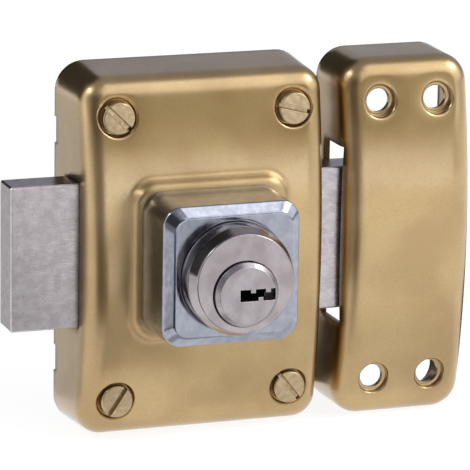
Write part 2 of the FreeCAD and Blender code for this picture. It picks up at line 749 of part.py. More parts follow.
def cam(y0, y1):
    """A hub with a square hole and one tooth, pointing down while the bolt rests."""
    hub = rod(CAM_HUB_R, y0, y1, 0, AXIS_Z)
    low = min(y0, y1)
    tip = AXIS_Z - CAM_R
    round_r = CAM_TIP_W / 2
    outline_points = [
        V(-CAM_ROOT_W / 2, low, AXIS_Z),
        V(CAM_ROOT_W / 2, low, AXIS_Z),
        V(round_r, low, tip + round_r),
        V(-round_r, low, tip + round_r),
    ]
    tooth = Part.Face(Part.makePolygon(outline_points + [outline_points[0]])).extrude(V(0, CAM_T, 0))
    end = rod(round_r, y0, y1, 0, tip + round_r)
    half = TAIL_W / 2
    hole = box(-half, half, low - OVER, low + CAM_T + OVER, AXIS_Z - half, AXIS_Z + half)
    return merged([hub, tooth, end]).cut(hole)


def pins(ys, z0, z1, tip):
    """A row of upright pins, pointed at the foot where tip is more than nothing."""
    row = []
    for y in ys:
        body = upright(PIN_R, z0 + tip, z1, 0, y)
        if tip:
            point = Part.makeCone(PIN_TIP_R, PIN_R, tip, V(0, y, z0), UP)
            body = merged([point, body])
        row.append(body)
    return Part.makeCompound(row)


def pin_stack_nodes(prefix, face_y, inward, radius):
    """Key pins in the plug, and the drivers, springs and closing plugs of one barrel, at the shear line."""
    ys = pin_ys(face_y, inward)
    key_foot = AXIS_Z + KEYWAY_H / 2 - WARD_H + PIN_LIFT
    key_top = AXIS_Z + math.sqrt(PLUG_R**2 - PIN_R**2) - TURN
    driver_foot = AXIS_Z + PLUG_R + TURN * 2
    driver_top = driver_foot + DRIVER_L
    stack_top = math.sqrt(radius**2 - PIN_R**2)
    plug_foot = stack_top - STACK_PLUG_L
    coil_r = PIN_R - SLIP
    springs = []
    for y in ys:
        sleeve = upright(coil_r, driver_top, plug_foot, 0, y)
        springs.append(sleeve.cut(upright(coil_r - SPRING_WIRE, driver_top, plug_foot, 0, y)))
    return {
        prefix + "_key_pins": pins(ys, key_foot, key_top, PIN_TIP),
        prefix + "_driver_pins": pins(ys, driver_foot, driver_top, 0),
        prefix + "_pin_springs": Part.makeCompound(springs),
        prefix + "_chamber_plugs": pins(ys, plug_foot, stack_top, 0),
    }


def strike_box():
    """Pressed strike, open behind, with a window for the bolt and four dished holes."""
    shell = STRIKE.with_dishes(STRIKE.block(0.0, 0.0)).cut(STRIKE.inside())
    low = BOLT_Z + STRIKE_WINDOW_RAISE - STRIKE_WINDOW_H / 2
    tools = [rod(STRIKE_HOLE_R, -STRIKE_D, 0, x, z) for x, z in STRIKE.places]
    tools.append(box(
        STRIKE_X - OVER, STRIKE_X + SHEET + OVER,
        BOLT_FRONT - STRIKE_WINDOW_PAST, BOLT_BACK + SLOT_RUN, low, low + STRIKE_WINDOW_H,
    ))
    return cut_all(shell, tools)


def build():
    """Every node of the lock, by name."""
    inner_cam_y = BOLT_FRONT + CAM_RUN
    outer_cam_y = BOLT_BACK - CAM_RUN
    inner_clip_y = SPIGOT_Y + SLIP
    outer_clip_y = -PLATE_T - SLIP
    nodes = {
        "case_cover": case_cover(),
        "cover_screws": cover_screws(),
        "cover_pillars": cover_pillars(),
        "base_plate": base_plate(),
        "upper_guide_rail": rail(1),
        "lower_guide_rail": rail(-1),
        "rail_screws": rail_screws(),
        "bolt": bolt(),
        "detent_spring": detent_spring(),
        "spring_screw": spring_screw(),
        "cylinder_collar": cylinder_collar(),
        "collar_screws": collar_screws(),
        "inner_cylinder_barrel": inner_cylinder_barrel(),
        "inner_ring_nut": inner_ring_nut(),
        "inner_plug": plug(BARREL_Y, 1, inner_clip_y, inner_cam_y, BOLT_Y - TAIL_GAP / 2),
        "inner_plug_clip": clip(CLIP_R, CLIP_GROOVE_R, CLIP_MOUTH, inner_clip_y, inner_clip_y + CLIP_T),
        "inner_cam": cam(inner_cam_y, inner_cam_y + CAM_T),
        "outer_cylinder_barrel": outer_cylinder_barrel(),
        "outer_rose": outer_rose(),
        "outer_fixing_screws": outer_fixing_screws(),
        "outer_plug": plug(OUTER_FACE_Y, -1, outer_clip_y, outer_cam_y, BOLT_Y + TAIL_GAP / 2),
        "outer_plug_clip": clip(CLIP_R, CLIP_GROOVE_R, CLIP_MOUTH, outer_clip_y, outer_clip_y - CLIP_T),
        "outer_cam": cam(outer_cam_y, outer_cam_y - CAM_T),
        "strike_box": strike_box(),
    }
    for side, cam_y, inward in (("inner", inner_cam_y, 1), ("outer", outer_cam_y, -1)):
        start = cam_y + inward * CAM_T
        end = start + inward * SMALL_CLIP_T
        nodes[side + "_cam_clip"] = clip(SMALL_CLIP_R, TAIL_GROOVE_R, SMALL_CLIP_MOUTH, start, end)
    nodes.update(pin_stack_nodes("inner", BARREL_Y, 1, BARREL_R))
    nodes.update(pin_stack_nodes("outer", OUTER_FACE_Y, -1, OUTER_BARREL_R))
    return nodes


def write():
    os.makedirs("parts", exist_ok=True)
    for name, shape in sorted(build().items()):
        shape.exportStep("parts/" + name + ".step")
        print(name, len(shape.Solids), "solids", round(shape.Volume, 1), "mm3", shape.isValid())


write()
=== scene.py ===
import json
import math

import bmesh
import bpy
import numpy as np
from mathutils import Matrix, Vector


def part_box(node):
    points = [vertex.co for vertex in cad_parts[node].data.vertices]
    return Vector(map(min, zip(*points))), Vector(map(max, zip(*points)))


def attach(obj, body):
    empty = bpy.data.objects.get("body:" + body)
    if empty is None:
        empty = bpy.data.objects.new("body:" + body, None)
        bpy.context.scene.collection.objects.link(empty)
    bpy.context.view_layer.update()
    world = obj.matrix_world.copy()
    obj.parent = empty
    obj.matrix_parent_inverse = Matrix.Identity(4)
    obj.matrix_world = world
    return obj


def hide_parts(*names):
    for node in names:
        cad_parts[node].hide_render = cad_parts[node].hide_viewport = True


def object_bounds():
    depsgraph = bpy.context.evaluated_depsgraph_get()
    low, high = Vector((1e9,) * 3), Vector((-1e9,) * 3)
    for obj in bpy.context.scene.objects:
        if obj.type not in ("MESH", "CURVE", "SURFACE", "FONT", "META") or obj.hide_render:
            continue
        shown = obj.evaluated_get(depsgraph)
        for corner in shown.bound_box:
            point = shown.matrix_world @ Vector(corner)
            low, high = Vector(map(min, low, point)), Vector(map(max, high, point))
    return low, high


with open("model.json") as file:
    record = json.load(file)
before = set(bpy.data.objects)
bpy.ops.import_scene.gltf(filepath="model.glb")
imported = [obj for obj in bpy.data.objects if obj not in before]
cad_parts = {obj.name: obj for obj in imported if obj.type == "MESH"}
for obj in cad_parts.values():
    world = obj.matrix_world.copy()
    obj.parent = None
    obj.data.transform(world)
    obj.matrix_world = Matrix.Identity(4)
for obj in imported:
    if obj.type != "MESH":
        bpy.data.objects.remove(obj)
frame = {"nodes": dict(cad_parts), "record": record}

# %% [markdown]
# # A double cylinder deadbolt
#
# This lock is screwed to the room side of a door. A pressed steel case in satin gold lacquer carries a
# flat steel bolt that passes right through it. A keyed cylinder in a bright square collar throws the bolt
# into a box of the same gold sheet on the frame. The measured solids come from the CAD model and stay
# where they are. This script gives each of them a finish, and adds the small forms that a press, a lathe
# or a file leaves.
#
# Lengths are in metres here, as in all of Blender, so sizes in millimetres are multiplied by MM.

# %% The solids, and how large they are
MM = 0.001
cad_low, cad_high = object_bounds()
cad_box = [list(map(float, cad_low)), list(map(float, cad_high))]
nodes = frame["nodes"]
print("solids:", len(nodes), "box in mm:", [[round(v / MM, 1) for v in corner] for corner in cad_box])

# %% [markdown]
# ## Camera
#
# The photograph was taken from the left and a little above, with a long lens: the far edges of the case
# are nearly parallel to the near ones. A camera can be placed by eye, but its height, turn and distance
# all change the same edges, so they are better solved together from points whose real places are known.
# These numbers came from such a solution: an angle round the lock, an angle above it, a roll, a distance
# and a focal length.

# %% Camera from the solved angles
CAMERA_AZIMUTH = 19.82
CAMERA_ELEVATION = 14.02
CAMERA_ROLL = 0.91
CAMERA_DISTANCE = 1.18115
CAMERA_FOCAL_PIXELS = 3784.0
IMAGE_PIXELS = 470
SENSOR_MM = 36.0
NEAREST_SEEN, FARTHEST_SEEN = 0.05, 20.0
LOOKED_AT = Vector((0.01899, 0.0, -0.00142))


def photograph_camera():
    """Camera axes from the angles: back along the line of sight, then right and up, turned by the roll."""
    azimuth, elevation, roll = (math.radians(v) for v in (CAMERA_AZIMUTH, CAMERA_ELEVATION, CAMERA_ROLL))
    back = Vector((
        -math.sin(azimuth) * math.cos(elevation),
        -math.cos(azimuth) * math.cos(elevation),
        math.sin(elevation),
    ))
    right = (-back).cross(Vector((0, 0, 1))).normalized()
    up = right.cross(-back)
    rolled_right = math.cos(roll) * right + math.sin(roll) * up
    rolled_up = -math.sin(roll) * right + math.cos(roll) * up
    data = bpy.data.cameras.new("photograph")
    data.sensor_width = SENSOR_MM
    data.lens = CAMERA_FOCAL_PIXELS / IMAGE_PIXELS * SENSOR_MM
    data.clip_start, data.clip_end = NEAREST_SEEN, FARTHEST_SEEN
    camera = bpy.data.objects.new("photograph", data)
    turn = Matrix((rolled_right, rolled_up, back)).transposed().to_4x4()
    camera.matrix_world = Matrix.Translation(LOOKED_AT + back * CAMERA_DISTANCE) @ turn
    bpy.context.scene.collection.objects.link(camera)
    return camera


camera = photograph_camera()
bpy.context.scene.camera = camera
bpy.context.scene.view_settings.view_transform = "Standard"
print("lens", round(camera.data.lens, 1), "mm, standing at", [round(v, 3) for v in camera.location])

# %% [markdown]
# ## One way to add a shader node
#
# Finishes are built from nodes: noise for the grain, ranges for its colours, bumps for its depth.
# Blender's own calls take several lines a node, so one small helper adds a node with its switches, its
# values and its links. Colours are written as people write them, in sRGB hex, and Blender wants linear
# light, so one function turns each channel: low values are divided by 12.92 and the rest follow a power
# of 2.4.

# %% Helpers for colours and nodes
def linear(hex_colour):
    """sRGB hex to linear: c / 12.92 up to 0.04045, and above it ((c + 0.055) / 1.055) to the power 2.4."""
    channels = np.array([int(hex_colour[i:i + 2], 16) / 255 for i in (1, 3, 5)])
    light = np.where(channels <= 0.04045, channels / 12.92, ((channels + 0.055) / 1.055) ** 2.4)
    return (*light.tolist(), 1.0)


def add(tree, kind, inputs=None, **settings):
    """Adds a shader node. Settings are its switches; an input is a value or the socket that feeds it."""
    made = tree.nodes.new("ShaderNode" + kind)
    for name, value in settings.items():
        setattr(made, name, value)
    for name, value in (inputs or {}).items():
        if isinstance(value, bpy.types.NodeSocket):
            tree.links.new(value, made.inputs[name])
        else:
            made.inputs[name].default_value = value
    return made


def new_finish(name):
    """An empty material with its tree, and the place on the object, in metres, that patterns follow."""
    finish = bpy.data.materials.new(name)
    finish.use_nodes = True
    tree = finish.node_tree
    tree.nodes.clear()
    place = add(tree, "TexCoord").outputs["Object"]
    return finish, tree, place


print("a mid grey, #808080, is", round(linear("#808080")[0], 3), "in linear light")

# %% [markdown]
# Four more helpers say in a word what the finishes need: a grain of a given size, a value carried to
# another range, a colour tinted where a pattern is high, and the places where hands and tools have rubbed
# an edge. Blender's noise hovers about 0.5 and seldom leaves 0.25 to 0.75, so patterns are read in about
# that range. The wear can't come from a painted map, because the solids have none. The Bevel node gives it
# instead: the normal that a rounded edge would have leans away from the true one near an edge and nowhere
# else. On the plain metals the pale colour along those edges is partly wear and partly a painted highlight,
# such as the cream light along the lip of the keyway.

# %% Grain, ranges, tints and worn edges
EASED = "SMOOTHSTEP"
WEAR_STARTS, WEAR_FULL = 0.995, 0.93
WEAR_SAMPLES = 6


def grit(tree, place, size_mm, detail=3.0, stretch=(1.0, 1.0, 1.0)):
    """Noise whose grains are size_mm across, or longer along an axis that stretch makes less than 1."""
    scaled = add(tree, "Mapping", {"Vector": place, "Scale": stretch}).outputs["Vector"]
    noise = add(tree, "TexNoise", {"Vector": scaled, "Scale": 1 / (size_mm * MM), "Detail": detail})
    return noise.outputs["Fac"]


def span(value, low, high, to_low, to_high):
    """What a Map Range node needs to carry value from low..high to to_low..to_high."""
    return {"Value": value, "From Min": low, "From Max": high, "To Min": to_low, "To Max": to_high}


def tinted(tree, colour, tint, pattern, low, high, share):
    """A colour that turns to tint by nothing where the pattern is low and by share where it is high."""
    amount = add(tree, "MapRange", span(pattern, low, high, 0.0, share), interpolation_type=EASED)
    # A Mix node has its inputs for colours at 6 and 7, and gives the colour out at 2.
    mix = add(tree, "Mix", {0: amount.outputs["Result"], 6: colour, 7: tint}, data_type="RGBA")
    return mix.outputs[2]


def edge_wear(tree, radius_mm):
    """1 along sharp edges and 0 on flats, and the rounded normal that it is worked out from."""
    rounded = add(tree, "Bevel", {"Radius": radius_mm * MM}, samples=WEAR_SAMPLES).outputs["Normal"]
    true = add(tree, "NewGeometry").outputs["Normal"]
    agree = add(tree, "VectorMath", {0: rounded, 1: true}, operation="DOT_PRODUCT").outputs["Value"]
    wear = add(tree, "MapRange", span(agree, WEAR_STARTS, WEAR_FULL, 0.0, 1.0), interpolation_type=EASED)
    return wear.outputs["Result"], rounded


starts, full = (round(math.degrees(math.acos(agree)), 1) for agree in (WEAR_STARTS, WEAR_FULL))
print("wear starts where the normals are", starts, "degrees apart and is full at", full, "degrees")

# %% [markdown]
# ## The soft folds of a pressing
#
# A press pulls sheet over a punch, so its folds are rounder than a drawing says, and where a hole's rim
# is dished the sheet round it is drawn in a little. The solids have the plain radii. These differences
# are a few tenths of a millimetre deep and only show in how light bends over them, so they are made in
# the shading normal: a Bevel node rounds the folds, less so near the holes, whose rims are crisp, and a
# bump draws the sheet in towards each hole.
#
# Both need the distance from the nearest hole. The holes stand mirror-wise in groups of four, so one
# quarter does for all.

# %% Distances from the holes
SCREW_PLACE = (28.0 * MM, 0.0, 44.0 * MM)
STRIKE_MIDDLE = (66.3 * MM, 0.0, 0.0)
STRIKE_HOLE_PLACE = (9.4 * MM, 0.0, 44.0 * MM)


def from_axis(tree, place):
    """Distance from the Y axis, along which all holes run: depth is multiplied by 0 before measuring."""
    flat = add(tree, "VectorMath", {0: place, 1: (1.0, 0.0, 1.0)}, operation="MULTIPLY").outputs["Vector"]
    return add(tree, "VectorMath", {0: flat}, operation="LENGTH").outputs["Value"]


def from_nearest(tree, place, hole):
    """Distance from the nearest of four holes about the origin: the place is folded onto one quarter."""
    folded = add(tree, "VectorMath", {0: place}, operation="ABSOLUTE").outputs["Vector"]
    offset = add(tree, "VectorMath", {0: folded, 1: hole}, operation="SUBTRACT").outputs["Vector"]
    return from_axis(tree, offset)


print("a screw stands", round(math.hypot(*SCREW_PLACE) / MM, 1), "mm from the middle of the case")

# %% Normals of the pressing
CRISP_WITHIN_MM, SOFT_BEYOND_MM = 6.5, 9.5
CRISP_RADIUS_MM, SOFT_RADIUS_MM = 0.5, 3.6
FOLD_SAMPLES = 8
DRAWN_IN_MM = 3.0
CASE_FADE_MM, STRIKE_FADE_MM = 2.0, 2.4


def pressed_normal(tree, place):
    """Normals with softened folds, drawn in towards each hole.

    The hollow round a hole follows exp(-distance / fade). It is steepest at the rim and fades out with no
    edge of its own.
    """
    from_strike = add(tree, "VectorMath", {0: place, 1: STRIKE_MIDDLE}, operation="SUBTRACT")
    from_case_hole = from_nearest(tree, place, SCREW_PLACE)
    from_strike_hole = from_nearest(tree, from_strike.outputs["Vector"], STRIKE_HOLE_PLACE)
    nearest = add(tree, "Math", {0: from_case_hole, 1: from_strike_hole}, operation="MINIMUM").outputs[0]
    crisp_to_soft = [v * MM for v in (CRISP_WITHIN_MM, SOFT_BEYOND_MM, CRISP_RADIUS_MM, SOFT_RADIUS_MM)]
    radius = add(tree, "MapRange", span(nearest, *crisp_to_soft), interpolation_type=EASED)
    normal = add(tree, "Bevel", {"Radius": radius.outputs["Result"]}, samples=FOLD_SAMPLES).outputs["Normal"]
    for distance, fade_mm in ((from_case_hole, CASE_FADE_MM), (from_strike_hole, STRIKE_FADE_MM)):
        steps = add(tree, "Math", {0: distance, 1: -1 / (fade_mm * MM)}, operation="MULTIPLY").outputs[0]
        hollow = add(tree, "Math", {0: steps}, operation="EXPONENT").outputs[0]
        bump = {"Height": hollow, "Strength": 1.0, "Distance": DRAWN_IN_MM * MM, "Normal": normal}
        normal = add(tree, "Bump", bump, invert=True).outputs["Normal"]
    return normal


print("folds are softened by", CRISP_RADIUS_MM, "mm beside a hole and by", SOFT_RADIUS_MM, "mm elsewhere")

# %% [markdown]
# ## Gold lacquer on pressed steel
#
# The case and the strike are deep-drawn from steel sheet, brushed, plated with brass and sprayed with a
# clear satin lacquer. The metal under it gives a broad warm shine with cream lights in the folds, and the
# lacquer lays a pale, colourless gloss over it where the surface is seen at a slant, so the walls look
# greyer than the front. A spray leaves a faint orange peel, a few millimetres across, and a fine speckle
# of dust in the coat. The real speckle and brushing are finer than a pixel, which is about 0.3 mm wide
# here, so they are drawn just coarse enough to show.

# %% Satin gold lacquer
GOLD_DARK, GOLD_LIGHT, GOLD_SPECK, GOLD_WORN = "#BC9B66", "#CCAD76", "#9C7E50", "#E3CF9F"
GOLD_ROUGH = (0.29, 0.36)
GOLD_CLOUD_MM, GOLD_SPECK_MM, GOLD_BRUSHING_MM, GOLD_PEEL_MM = 22.0, 0.5, 0.35, 2.2
PEEL_DEEP_MM, BRUSHING_DEEP_MM = 0.05, 0.02
LACQUER_ROUGH, LACQUER_IOR = 0.16, 1.7


def gold_lacquer():
    """Brass-coloured metal below and a clear coat above, each with its own bumps."""
    finish, tree, place = new_finish("satin_gold_lacquer")
    cloud = grit(tree, place, GOLD_CLOUD_MM, 2.0)
    speckle = grit(tree, place, GOLD_SPECK_MM, 2.0)
    brushing = grit(tree, place, GOLD_BRUSHING_MM, 2.0, stretch=(1.0, 1.0, 0.06))
    wear, _ = edge_wear(tree, radius_mm=0.35)
    colour = tinted(tree, linear(GOLD_DARK), linear(GOLD_LIGHT), cloud, 0.35, 0.65, 1.0)
    colour = tinted(tree, colour, linear(GOLD_SPECK), speckle, 0.30, 0.75, 0.22)
    colour = tinted(tree, colour, linear(GOLD_WORN), wear, 0.0, 1.0, 0.45)
    gloss = add(tree, "MapRange", span(speckle, 0.25, 0.75, *GOLD_ROUGH), interpolation_type=EASED)
    peel = add(tree, "Bump", {
        "Height": grit(tree, place, GOLD_PEEL_MM, 1.0), "Strength": 0.10, "Distance": PEEL_DEEP_MM * MM,
        "Normal": pressed_normal(tree, place),
    }).outputs["Normal"]
    fine = add(tree, "Bump", {
        "Height": brushing, "Strength": 0.12, "Distance": BRUSHING_DEEP_MM * MM, "Normal": peel,
    }).outputs["Normal"]
    shader = add(tree, "BsdfPrincipled", {
        "Base Color": colour, "Metallic": 1.0, "Roughness": gloss.outputs["Result"], "Normal": fine,
        "Coat Weight": 1.0, "Coat Roughness": LACQUER_ROUGH, "Coat IOR": LACQUER_IOR, "Coat Normal": peel,
    })
    add(tree, "OutputMaterial", {"Surface": shader.outputs["BSDF"]})
    return finish


gold = gold_lacquer()
print(gold.name, "is made of", len(gold.node_tree.nodes), "nodes")

# %% [markdown]
# ## Turned brass
#
# The cover screws are turned on a lathe from brass bar, so their faces carry rings of tool marks round
# the middle, about a quarter of a millimetre apart. They are paler and greener than the lacquer, and
# years in the room have left brown stains on them. The rings are read from the distance to each screw's
# own middle, which the helper for the holes already gives.

# %% Turned brass of the cover screws
BRASS, BRASS_STAIN, BRASS_WORN = "#CBB591", "#A68E6C", "#F0E2B8"
BRASS_ROUGH = (0.26, 0.42)
TOOL_MARK_MM, TOOL_MARK_DEEP_MM, STAIN_MM = 0.25, 0.012, 1.6


def turned_brass():
    """Rings are the sine of the radius; stains are noise that darkens and dulls the brass."""
    finish, tree, place = new_finish("turned_brass")
    radius = from_nearest(tree, place, SCREW_PLACE)
    per_ring = 2 * math.pi / (TOOL_MARK_MM * MM)
    turns = add(tree, "Math", {0: radius, 1: per_ring}, operation="MULTIPLY").outputs[0]
    rings = add(tree, "Math", {0: turns}, operation="SINE").outputs[0]
    stain = grit(tree, place, STAIN_MM, 4.0)
    wear, rounded = edge_wear(tree, radius_mm=0.2)
    colour = tinted(tree, linear(BRASS), linear(BRASS_STAIN), stain, 0.35, 0.7, 0.55)
    colour = tinted(tree, colour, linear(BRASS_WORN), wear, 0.0, 1.0, 0.6)
    gloss = add(tree, "MapRange", span(stain, 0.3, 0.7, *BRASS_ROUGH), interpolation_type=EASED)
    bump = add(tree, "Bump", {
        "Height": rings, "Strength": 0.25, "Distance": TOOL_MARK_DEEP_MM * MM, "Normal": rounded,
    })
    shader = add(tree, "BsdfPrincipled", {
        "Base Color": colour, "Metallic": 1.0, "Roughness": gloss.outputs["Result"],
        "Normal": bump.outputs["Normal"],
    })
    add(tree, "OutputMaterial", {"Surface": shader.outputs["BSDF"]})
    return finish


brass_screw = turned_brass()
print(brass_screw.name, "is made of", len(brass_screw.node_tree.nodes), "nodes")

# %% [markdown]
# ## Plain metals
#
# The other metals differ in colour, in how coarse their grain is and in which way it runs: cold-drawn
# steel is mottled with faint lengthwise lines, zinc plate is cloudy, cast zinc is pitted, satin nickel is
# brushed up and down, bright plating has hardly any grain at all. One recipe with those few facts makes
# them all. Real brushing is finer than a pixel, so the grain is drawn at 0.2 mm or more.
#
# The cylinder has one habit more. Its face is brushed, but the flank round it is left as the lathe turned
# it, which is smoother, so the flank mirrors the room more sharply than the face does.

# %% The smoother flank of the cylinder
FACE_REACHES_MM, FLANK_BLEND_MM = 15.2, 0.3
FLANK_BACK_MM, BACK_BLEND_MM = -45.0, 1.0
FLANK_SHARE = 0.6


def smoother_flank(tree, place, gloss):
    """Scales the roughness down outside the face's radius, on the room side of the collar only."""
    depth = add(tree, "SeparateXYZ", {"Vector": place}).outputs["Y"]
    out_from, out_to = FACE_REACHES_MM * MM, (FACE_REACHES_MM + FLANK_BLEND_MM) * MM
    back_from, back_to = FLANK_BACK_MM * MM, (FLANK_BACK_MM + BACK_BLEND_MM) * MM
    outside = span(from_axis(tree, place), out_from, out_to, 1.0, FLANK_SHARE)
    behind = span(depth, back_from, back_to, 0.0, 1.0)
    by_radius = add(tree, "MapRange", outside, interpolation_type=EASED).outputs["Result"]
    by_depth = add(tree, "MapRange", behind, interpolation_type=EASED).outputs["Result"]
    share = add(tree, "Math", {0: by_radius, 1: by_depth}, operation="MAXIMUM").outputs[0]
    return add(tree, "Math", {0: gloss, 1: share}, operation="MULTIPLY").outputs[0]


print("the flank is", FLANK_SHARE, "times as rough as the face")


# %% One recipe for plain metals
EVEN = (1.0, 1.0, 1.0)
TARNISH = "#6B6258"


def plain_metal(name, dark, light, worn_and_highlight, rough, cloud_mm, grain_mm, deep_mm, stretch=EVEN, edge_mm=0.25,
                spots=0.0, flank=False):
    """Two-tone clouds, finer grain, tarnish spots, and edges pale from wear and painted highlight. Sizes in
    mm.
    """
    finish, tree, place = new_finish(name)
    cloud = grit(tree, place, cloud_mm, 4.0)
    grain = grit(tree, place, grain_mm, 3.0, stretch=stretch)
    wear, rounded = edge_wear(tree, edge_mm)
    colour = tinted(tree, linear(dark), linear(light), cloud, 0.35, 0.65, 1.0)
    colour = tinted(tree, colour, linear(dark), grain, 0.3, 0.7, 0.25)
    if spots:
        stain = grit(tree, place, cloud_mm / 4, 5.0)
        colour = tinted(tree, colour, linear(TARNISH), stain, 0.58, 0.72, spots)
    # The pale edge colour is partly wear and partly a painted highlight, like the cream light on the
    # keyway's lip.
    colour = tinted(tree, colour, linear(worn_and_highlight), wear, 0.0, 1.0, 0.7)
    bump = add(tree, "Bump", {
        "Height": grain, "Strength": 0.3, "Distance": deep_mm * MM, "Normal": rounded,
    })
    gloss = add(tree, "MapRange", span(grain, 0.3, 0.7, *rough), interpolation_type=EASED).outputs["Result"]
    if flank:
        gloss = smoother_flank(tree, place, gloss)
    shader = add(tree, "BsdfPrincipled", {
        "Base Color": colour, "Metallic": 1.0, "Roughness": gloss, "Normal": bump.outputs["Normal"],
    })
    add(tree, "OutputMaterial", {"Surface": shader.outputs["BSDF"]})
    return finish


# %% A finish for each slot of the record
finishes = {
    "gold_lacquer": gold,
    "screw_brass": brass_screw,
    # Cold-drawn steel bar, ground and oiled: mottled grey, with faint marks along the bar.
    "bolt_steel": plain_metal(
        "drawn_steel", "#C0B8BB", "#D2CBCE", "#DEDADC", (0.26, 0.38),
        cloud_mm=2.5, grain_mm=0.3, deep_mm=0.018, stretch=(0.10, 1.0, 1.0), edge_mm=0.3, spots=0.35),
    # Zinc plate with a clear passivate: cloudy pale grey, slightly blue.
    "zinc_plated_steel": plain_metal(
        "zinc_plate", "#A8AAAC", "#BEC0C2", "#DADCDD", (0.32, 0.45),
        cloud_mm=7.0, grain_mm=0.5, deep_mm=0.01),
    # Die-cast zinc straight from the mould: dull, with fine pitting.
    "rail_zinc": plain_metal(
        "cast_zinc", "#6F7072", "#8B8C8E", "#A9AAAC", (0.5, 0.65),
        cloud_mm=2.0, grain_mm=0.35, deep_mm=0.03),
    # Hardened spring steel, blued by tempering: dark, with a cold tint and pale edges.
    "spring_steel": plain_metal(
        "blued_spring_steel", "#4A4C58", "#686C7A", "#B9BAC0", (0.28, 0.38),
        cloud_mm=4.0, grain_mm=0.3, deep_mm=0.01, stretch=(0.1, 1.0, 1.0)),
    # Die-cast collar, polished and bright plated: nearly a mirror, a little blue, with polishing waves.
    "collar_chrome": plain_metal(
        "bright_plate", "#A0A4B0", "#B0B4C0", "#F2F3F8", (0.12, 0.20),
        cloud_mm=3.0, grain_mm=0.9, deep_mm=0.012, stretch=(1.0, 1.0, 0.4), edge_mm=0.5, spots=0.10),
    # Turned brass barrel in satin nickel plate, brushed up and down on its face: warm grey, soft shine.
    "barrel_nickel": plain_metal(
        "satin_nickel", "#A89FA1", "#BEB6B8", "#F4EFF0", (0.18, 0.27),
        cloud_mm=8.0, grain_mm=0.22, deep_mm=0.010, stretch=(1.0, 1.0, 0.05), flank=True),
    # The plug has the same plate, brushed a little coarser.
    "plug_nickel": plain_metal(
        "satin_nickel_plug", "#A79EA1", "#BDB5B8", "#F4EFF0", (0.24, 0.34),
        cloud_mm=6.0, grain_mm=0.22, deep_mm=0.010, stretch=(1.0, 1.0, 0.05)),
    # Sintered steel cams: dark, porous, burnished where the tooth rubs.
    "cam_steel": plain_metal(
        "sintered_steel", "#5C5A58", "#7C7A77", "#B4B1AD", (0.42, 0.55),
        cloud_mm=1.5, grain_mm=0.25, deep_mm=0.02),
    # Small turned brass pins, clean as they came off the lathe.
    "pin_brass": plain_metal(
        "pin_brass", "#B08F4C", "#CBAA62", "#E7D08E", (0.24, 0.34),
        cloud_mm=1.5, grain_mm=0.2, deep_mm=0.008, stretch=(1.0, 1.0, 0.2)),
}
print("finishes:", sorted(finishes))

# %% [markdown]
# ## Metal skins worked out with numpy
#
# A press, a lathe or a mould never leaves a knife edge, and it is the small rounds that catch the light.
# The CAD solids have plain chamfers in these places, so the collar, the room-side barrel and the cover
# screws are made again here with every edge eased. A Bevel modifier would ease them too, but it rounds
# all edges alike and leaves long triangles on the flats. Here each edge has its own radius, because each
# skin is a grid of points: its rows follow a profile and its columns go round. Two helpers serve all of
# them. One eases the corners of a profile.

# %% A profile with eased corners
EDGE_STEPS = 7
FLAT_MARGIN = 0.12
MOST_OF_A_SIDE = 0.45


def eased_profile(rows):
    """A closed profile in millimetres. Each row is a corner, and its last number is that edge's radius.

    A corner c with unit directions a and b to its neighbours becomes the points
    c + a * t * (1 - s)**2 + b * t * s**2 for s from 0 to 1, where t is the radius / tan(half the corner's
    angle) and at most MOST_OF_A_SIDE of the shorter side. One more point beyond each end keeps the flats
    flat. Angles are measured in the first two columns, and other columns are carried along in proportion.
    """
    rows = np.asarray(rows, float)
    corners, radii = rows[:, :-1], rows[:, -1]
    to_last, to_next = np.roll(corners, 1, 0) - corners, np.roll(corners, -1, 0) - corners
    lengths = np.stack([np.hypot(side[:, 0], side[:, 1]) for side in (to_last, to_next)])
    a, b = to_last / lengths[0][:, None], to_next / lengths[1][:, None]
    half = np.arccos(np.clip((a[:, :2] * b[:, :2]).sum(1), -1, 1)) / 2
    t = np.minimum(radii / np.tan(half), MOST_OF_A_SIDE * lengths.min(0))[:, None]
    s = np.linspace(0, 1, EDGE_STEPS)
    along_a = np.concatenate([t + FLAT_MARGIN, t * (1 - s) ** 2, t * 0], 1)[..., None]
    along_b = np.concatenate([t * 0, t * s**2, t + FLAT_MARGIN], 1)[..., None]
    points = corners[:, None] + a[:, None] * along_a + b[:, None] * along_b
    points = points.reshape(-1, corners.shape[1])
    return np.concatenate([points, points[:1]])


eased_square = eased_profile([(0, 0, 0.5), (2, 0, 0.5), (2, 2, 0.5), (0, 2, 0.5)])
print("a square of 2 mm, eased by 0.5 mm, has", len(eased_square), "points")

# %% One closed mesh from grids of points
SHARP_ANGLE = math.radians(40)
WELD = 0.0005 * MM


